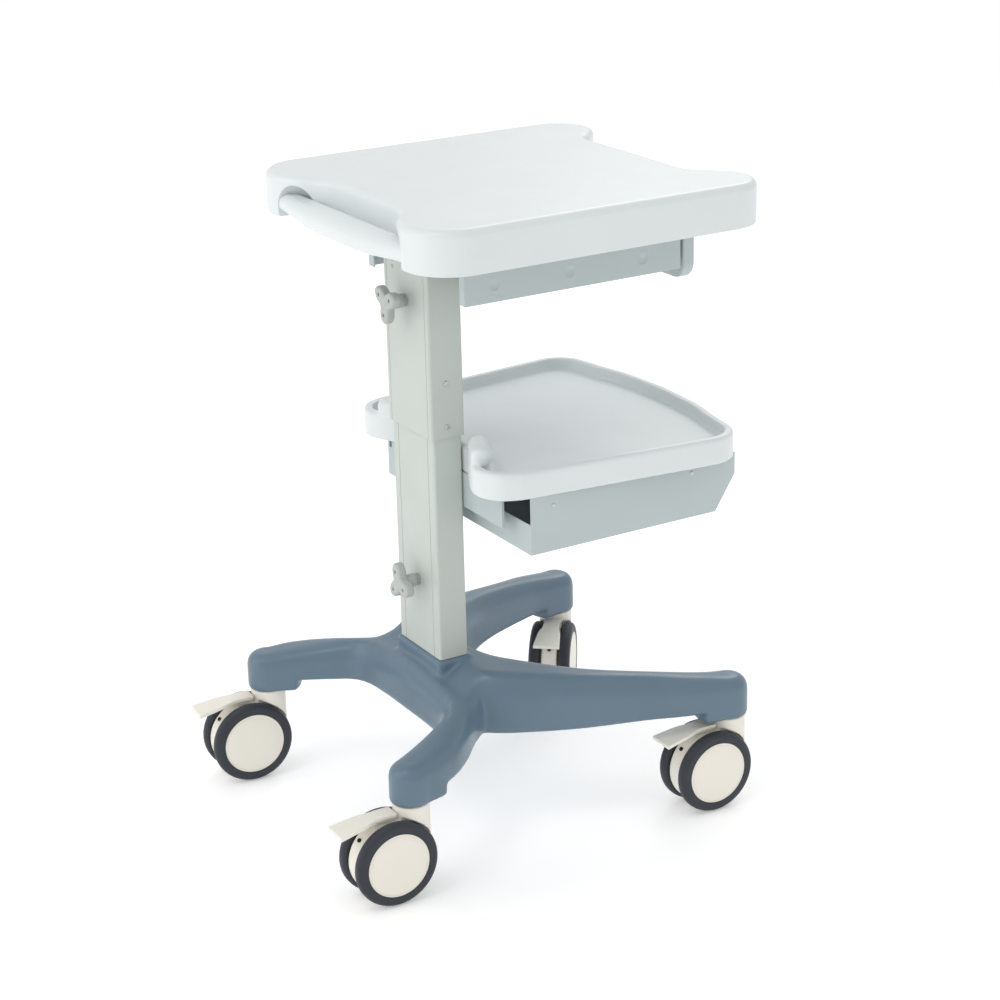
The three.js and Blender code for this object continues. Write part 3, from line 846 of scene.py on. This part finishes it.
def makeShelf():
    bottom, crest = shelf["z"]
    piece = prism("shelfTray", shelfOutline(), bottom, crest)
    bevelLevel(piece, crest, shelf["edge"], 5)
    insetPush(piece, lambda c, n: n.z > 0.99 and c.z > (crest - 0.1) * mm, 2.5, (0, 0, -0.01))
    insetPush(piece, lambda c, n: n.z > 0.99 and c.z > (crest - 0.1) * mm and c.z < (crest - 0.005) * mm,
              3.5, (0, 0, shelf["floor"] - crest + 0.01))
    insetPush(piece, lambda c, n: n.z < -0.99 and c.z < (bottom + 0.1) * mm, 4, (0, 0, 12))
    parts = []
    x, y, z = shelf["cheek"]
    for side in (-1, 1):
        turn = math.radians(side * shelf["cheekTurn"])
        barrel = drum("barrel", shelf["cheekRadius"], shelf["cheekLength"], Vector((0, 0, 0)), "Y", 48)
        softEdges(barrel, 9, 6, 60)
        root = block("root", Vector((19, shelf["cheekLength"] - 26, 24)) * mm, Vector((0, 0, -14)) * mm)
        softEdges(root, 5, 3, 60)
        for part in (barrel, root):
            part.rotation_euler = (0, 0, turn)
            part.location = at(x, side * y, z)
            parts.append(settle(part))
    joinPieces(piece, *parts)
    voxelSolid(piece, shelf["voxel"], 4)
    dress(piece, "shell", "column", "shelf_tray")


makeShelf()

box = {"x": (36, 314), "halfY": 166, "z": (358, 440.8), "chamfer": (286.7, 399.7), "lip": 394, "wall": 1.5,
       "rivets": (66, 253), "rivetZ": 412, "rivetRadius": 2.6, "cutTop": 425.6}


def makeBox():
    x0, x1 = box["x"]
    z0, z1 = box["z"]
    halfY = box["halfY"]
    clearSelection()
    profile = [(x0, z0), (box["chamfer"][0], z0), (x1, box["chamfer"][1]), (x1, z1), (x0, z1)]
    bpy.ops.mesh.primitive_circle_add(vertices=len(profile), radius=0.1, fill_type="NGON")
    piece = bpy.context.object
    piece.name = "sheetMetalBox"
    for vertex, (x, z) in zip(piece.data.vertices, profile):
        vertex.co = at(x, -halfY, z)
    pick(piece, "FACE", lambda c, n: True)
    bpy.ops.mesh.extrude_region_move(TRANSFORM_OT_translate={"value": (0, 2 * halfY * mm, 0)})
    leaveEdit()
    facesOut(piece)
    pick(piece, "FACE", lambda c, n: n.x < -0.9)
    bpy.ops.mesh.bisect(plane_co=at(x0, 0, box["lip"]), plane_no=(0, 0, 1))
    leaveEdit()
    pick(piece, "FACE", lambda c, n: n.z > 0.9 or (n.x < -0.9 and c.z > box["lip"] * mm))
    bpy.ops.mesh.delete(type="FACE")
    leaveEdit()
    applyModifier(piece, "SOLIDIFY", thickness=box["wall"] * mm, offset=-1, use_even_offset=True)
    softEdges(piece, 1.1, 3, 40)
    limit = roundBox("limit", (x0 - 5, -halfY - 5, z0 - 5), (x1 + 5, halfY + 5, box["cutTop"]), 0.01, 1)
    cutWith(piece, limit, "INTERSECT")
    shadeSmooth(piece, 30, True)
    dress(piece, "sheet", "column", "shelf_box")


makeBox()
for i, x in enumerate(box["rivets"]):
    for j, side in enumerate((-1, 1)):
        rivet = ball(f"boxRivet{i * 2 + j + 1}", box["rivetRadius"],
                     at(x, side * (box["halfY"] + 0.1), box["rivetZ"]), 28, 14, 0.38)
        pick(rivet, "FACE", lambda c, n: (c.y - columnY) * side < (box["halfY"] - 0.4) * mm)
        bpy.ops.mesh.delete(type="FACE")
        bpy.ops.mesh.select_mode(type="EDGE")
        bpy.ops.mesh.select_non_manifold()
        bpy.ops.mesh.edge_face_add()
        leaveEdit()
        facesOut(rivet)
        shadeSmooth(rivet, 40)
        dress(rivet, "steel", "column")
print("shelf and box made")

# ---- casters, made once round their own swivel and copied to each corner ----

caster = {"trail": 30.4, "radius": 50, "hub": 37.6, "inner": 12.2, "outer": 26.8, "web": 10.4, "webRadius": 45,
          "housing": 21.1, "top": 111.3}


def local(x, y, z):
    return Vector((x, y, z)) * mm


def makeTyre():
    clearSelection()
    bpy.ops.mesh.primitive_cylinder_add(vertices=128, radius=caster["radius"] * mm,
                                        depth=(caster["outer"] - caster["inner"]) * mm)
    piece = bpy.context.object
    piece.rotation_euler = (math.pi / 2, 0, 0)
    piece.location = local(-caster["trail"], (caster["outer"] + caster["inner"]) / 2, caster["radius"])
    settle(piece)
    bore = caster["radius"] - caster["hub"] - 0.2
    pick(piece, "FACE", lambda c, n: abs(n.y) > 0.9)
    bpy.ops.mesh.inset(thickness=bore * mm, depth=0, use_individual=True)
    bpy.ops.mesh.bridge_edge_loops()
    leaveEdit()
    facesOut(piece)
    outer = caster["radius"] - 0.5
    axle = local(-caster["trail"], 0, caster["radius"])

    def onRim(a, b):
        flat = [Vector((v.x - axle.x, v.z - axle.z)).length / mm for v in (a, b)]
        return min(flat) > outer and abs(a.y - b.y) < 1e-5

    pick(piece, "EDGE", onRim)
    bpy.ops.mesh.bevel(offset=6 * mm, segments=8, affect="EDGES")
    leaveEdit()
    shadeSmooth(piece, 35)
    return piece


def makeHub():
    depth = caster["outer"] - caster["inner"] - 0.4
    clearSelection()
    bpy.ops.mesh.primitive_cylinder_add(vertices=128, radius=caster["hub"] * mm, depth=depth * mm)
    piece = bpy.context.object
    piece.rotation_euler = (math.pi / 2, 0, 0)
    piece.location = local(-caster["trail"], caster["inner"] + 0.2 + depth / 2, caster["radius"])
    settle(piece)

    def onDisc(c, n):
        return n.y > 0.9 and abs(c.x + caster["trail"] * mm) < mm and abs(c.z - caster["radius"] * mm) < mm

    insetPush(piece, onDisc, 1.6, (0, -0.7, 0))
    insetPush(piece, onDisc, 1.4, (0, 0.5, 0))
    for ring, rise in ((9, 0.3), (10, 0.2), (9, 0.08)):
        pick(piece, "FACE", onDisc)
        bpy.ops.mesh.inset(thickness=ring * mm, depth=rise * mm)
        leaveEdit()
    softEdges(piece, 0.35, 2, 25)
    shadeSmooth(piece, 30)
    return piece


def makeCasterBody():
    trail, radius, top = caster["trail"], caster["radius"], caster["top"]
    web = drum("web", caster["webRadius"], 2 * caster["web"], local(-trail, 0, radius), "Y", 96)
    softEdges(web, 2, 3, 60)
    housing = drum("housing", caster["housing"], top - 60, local(0, 0, (top + 60) / 2), "Z", 72)
    softEdges(housing, 1.6, 3, 60)
    for side in (-1, 1):
        y = side * (caster["web"] + 0.5 + 15)
        cutWith(housing, drum("clearance", radius + 1.6, 30, local(-trail, y, radius), "Y", 96))
    neck = block("neck", local(40, 2 * caster["web"], 55), local(-10, 0, 68))
    softEdges(neck, 2, 3, 60)
    body = joinPieces(web, housing, neck)
    voxelSolid(body, 0.9, 4)
    cutWith(body, block("ground", local(200, 200, 200), local(-30, 0, -84)))  # flat 16 mm above the floor
    shadeSmooth(body, 50)
    return body


pedal = {"x": (-94, -23), "z": 103.2, "thick": 4.2, "neck": (-50, 10.2), "shoulder": (-61, 14.2),
         "tipHalf": 17.0, "droop": 8.2, "droopFrom": -40, "wedge": (36, 15, 6), "wedgeAt": (-42, 0, 97.6)}


def pedalHalf(x):
    neckX, neckHalf = pedal["neck"]
    shoulderX, shoulderHalf = pedal["shoulder"]
    tipX = pedal["x"][0]
    if x > neckX:
        return neckHalf
    if x > shoulderX:
        return neckHalf + (neckX - x) / (neckX - shoulderX) * (shoulderHalf - neckHalf)
    return shoulderHalf + (shoulderX - x) / (shoulderX - tipX) * (pedal["tipHalf"] - shoulderHalf)


def makePedal():
    # a paddle that is narrow at the fork and widens to its tip, with a wedge underneath
    tip, root = pedal["x"]
    piece = block("pedal", local(root - tip, 1, pedal["thick"]), local((root + tip) / 2, 0, pedal["z"]))
    pick(piece, "FACE", lambda c, n: True)
    bpy.ops.mesh.subdivide(number_cuts=11)
    leaveEdit()
    for vertex in piece.data.vertices:
        x = vertex.co.x / mm
        along = min(1.0, max(0.0, (pedal["droopFrom"] - x) / (pedal["droopFrom"] - tip)))
        vertex.co.y *= 2 * pedalHalf(x)  # the block starts 1 mm wide
        vertex.co.z -= pedal["droop"] * along ** 1.3 * mm
    softEdges(piece, 0.9, 3, 50)
    wedge = block("wedge", local(*pedal["wedge"]), local(*pedal["wedgeAt"]))
    for vertex in wedge.data.vertices:
        if vertex.co.z < 97 * mm and vertex.co.x < -50 * mm:
            vertex.co.z += 2.2 * mm
            vertex.co.y *= 0.7
    softEdges(wedge, 1.2, 3, 50)
    joinPieces(piece, wedge)
    shadeSmooth(piece, 40)
    return piece


def casterScrew():
    spot = local(-caster["trail"] - 34, 0, 79)
    piece = drum("screw", 2.4, 4, Vector((0, 0, 0)), "X", 28)
    insetPush(piece, lambda c, n: n.x < -0.9, 0.7, (1.2, 0, 0))
    piece.rotation_euler = (0, math.radians(40), 0)
    piece.location = spot
    return settle(piece)


patterns = {"Body": makeCasterBody(), "Pedal": makePedal(), "Hub": makeHub(), "Tyre": makeTyre(),
            "Screw": casterScrew()}


def copyTo(kind, name, matrix, flip=False):
    piece = bpy.data.objects.new(name, patterns[kind].data.copy())
    bpy.context.scene.collection.objects.link(piece)
    if flip:
        piece.matrix_world = matrix @ Matrix.Rotation(math.pi, 4, "Z") @ Matrix.Translation(
            local(2 * caster["trail"], 0, 0))
    else:
        piece.matrix_world = matrix
    bpy.context.view_layer.update()
    return settle(piece)


for corner in corners:
    stem = middle(f"{corner}_caster_stem")
    axle = middle(f"{corner}_caster_axle")
    direction = math.atan2(axle.y - stem.y, axle.x - stem.x)
    matrix = Matrix.Translation((stem.x, stem.y, 0)) @ Matrix.Rotation(direction - math.pi, 4, "Z")
    label = corner.split("_")[0] + corner.split("_")[1].title()
    dress(copyTo("Body", f"{label}CasterBody", matrix), "cream", f"{corner}_swivel", f"{corner}_caster_body")
    dress(copyTo("Pedal", f"{label}BrakePedal", matrix), "cream", f"{corner}_pedal", f"{corner}_brake_pedal")
    # the caster screw takes the near-black painted recess shade
    dress(copyTo("Screw", f"{label}CasterScrew", matrix), "glide", f"{corner}_swivel", material=recessShadeFinish)
    for letter, flip in (("a", False), ("b", True)):
        body = f"{corner}_wheel_{letter}"
        dress(copyTo("Hub", f"{label}Hub{letter.upper()}", matrix, flip), "cream", body, body)
        dress(copyTo("Tyre", f"{label}Tyre{letter.upper()}", matrix, flip), "rubber", body,
              f"{corner}_tyre_{letter}")
for pattern in patterns.values():
    bpy.data.objects.remove(pattern)
print("casters made")
